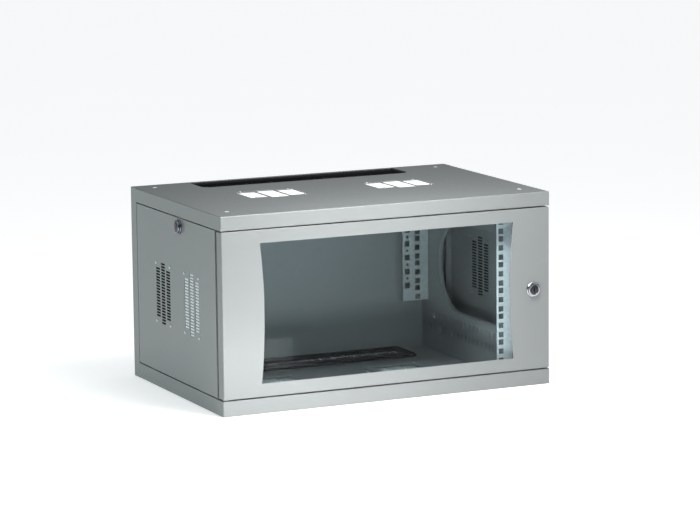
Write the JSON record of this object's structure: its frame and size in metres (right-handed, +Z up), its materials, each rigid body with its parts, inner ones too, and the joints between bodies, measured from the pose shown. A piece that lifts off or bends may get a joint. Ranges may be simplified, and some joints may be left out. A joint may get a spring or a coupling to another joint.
{
  "type": "network server rack cabinet",
  "caption": "Wall-mounted nineteen-inch rack cabinet with a glazed lockable door, vented tilt-out side panels, brush cable entries and rack rails inside.",
  "frame": {"origin": "middle of the flat underside", "axes": "+X to the right seen from the front, +Y to the rear (wall side), +Z up"},
  "size_m": [0.613, 0.4065, 0.331],
  "materials": {
    "grey_coat": "fine textured light grey powder coat",
    "zinc": "galvanised sheet steel",
    "screw_zinc": "bright zinc plate",
    "chrome": "bright nickel plate",
    "black_plastic": "matt black",
    "bush_plastic": "natural nylon",
    "bristle": "black nylon bristles",
    "filter_mat": "white non-woven filter fleece",
    "gasket": "matt black rubber",
    "glass": "clear toughened glass, slightly cool",
    "spring_steel": "spring steel"
  },
  "bodies": {
    "cabinet": {"bottom_cover": "grey_coat", "top_cover": "grey_coat", "rear_panel": "grey_coat", "side_frame_left": "grey_coat", "side_frame_right": "grey_coat", "front_rail_left": "zinc", "front_rail_right": "zinc", "rear_rail_left": "grey_coat", "rear_rail_right": "grey_coat", "rail_screws": "screw_zinc", "bottom_cover_screws": "screw_zinc", "top_cover_screws": "screw_zinc", "brush_frame_bottom": "black_plastic", "brush_frame_top": "black_plastic", "brush_bristles_bottom": "bristle", "brush_bristles_top": "bristle", "bottom_filter_mats": "filter_mat", "bottom_filter_frames": "zinc", "bottom_filter_screws": "screw_zinc", "top_filter_mats": "filter_mat", "top_filter_frames": "zinc", "top_filter_screws": "screw_zinc", "upper_hinge_bush": "bush_plastic", "lower_hinge_pin": "screw_zinc", "lower_hinge_nut": "screw_zinc"},
    "door": {"door_frame": "grey_coat", "door_glass": "glass", "glazing_gasket": "gasket", "glass_clips": "zinc", "glass_clip_screws": "screw_zinc", "lower_hinge_bush": "bush_plastic", "hinge_pin_bracket": "zinc", "hinge_pin_spring": "spring_steel", "door_lock_body": "chrome", "door_lock_nut": "screw_zinc"},
    "hinge_latch": {"upper_hinge_pin": "screw_zinc", "hinge_pin_knob": "black_plastic"},
    "door_lock": {"door_lock_plug": "chrome", "door_lock_cam": "screw_zinc", "door_lock_cam_screw": "screw_zinc"},
    "left_panel": {"side_panel_left": "grey_coat", "side_filter_mat_left": "filter_mat", "side_filter_frame_left": "zinc", "side_filter_screws_left": "screw_zinc", "left_lock_body": "chrome", "left_lock_nut": "screw_zinc"},
    "left_lock": {"left_lock_plug": "chrome", "left_lock_cam": "screw_zinc", "left_lock_cam_screw": "screw_zinc"},
    "right_panel": {"side_panel_right": "grey_coat", "side_filter_mat_right": "filter_mat", "side_filter_frame_right": "zinc", "side_filter_screws_right": "screw_zinc", "right_lock_body": "chrome", "right_lock_nut": "screw_zinc"},
    "right_lock": {"right_lock_plug": "chrome", "right_lock_cam": "screw_zinc", "right_lock_cam_screw": "screw_zinc"}
  },
  "joints": [
    {"name": "door_swing", "type": "hinge", "parent": "cabinet", "child": "door", "pos_m": [-0.291, -0.19, 0.166], "axis": [0, 0, -1], "range_deg": [0, 180]},
    {"name": "hinge_latch_slide", "type": "slide", "parent": "door", "child": "hinge_latch", "axis": [0, 0, -1], "range_m": [0, 0.01], "stiffness_N_per_m": 400, "springref_m": -0.005, "deforming": ["hinge_pin_spring"]},
    {"name": "door_lock_turn", "type": "hinge", "parent": "door", "child": "door_lock", "pos_m": [0.268, -0.19, 0.165], "axis": [0, -1, 0], "range_deg": [0, 90]},
    {"name": "left_panel_tilt", "type": "hinge", "parent": "cabinet", "child": "left_panel", "pos_m": [-0.299, 0, 0.027], "axis": [0, -1, 0], "range_deg": [0, 25]},
    {"name": "left_lock_turn", "type": "hinge", "parent": "left_panel", "child": "left_lock", "pos_m": [-0.298, -0.0205, 0.2897], "axis": [-1, 0, 0], "range_deg": [0, 90]},
    {"name": "right_panel_tilt", "type": "hinge", "parent": "cabinet", "child": "right_panel", "pos_m": [0.299, 0, 0.027], "axis": [0, 1, 0], "range_deg": [0, 25]},
    {"name": "right_lock_turn", "type": "hinge", "parent": "right_panel", "child": "right_lock", "pos_m": [0.298, -0.0205, 0.2897], "axis": [-1, 0, 0], "range_deg": [0, 90]}
  ]
}
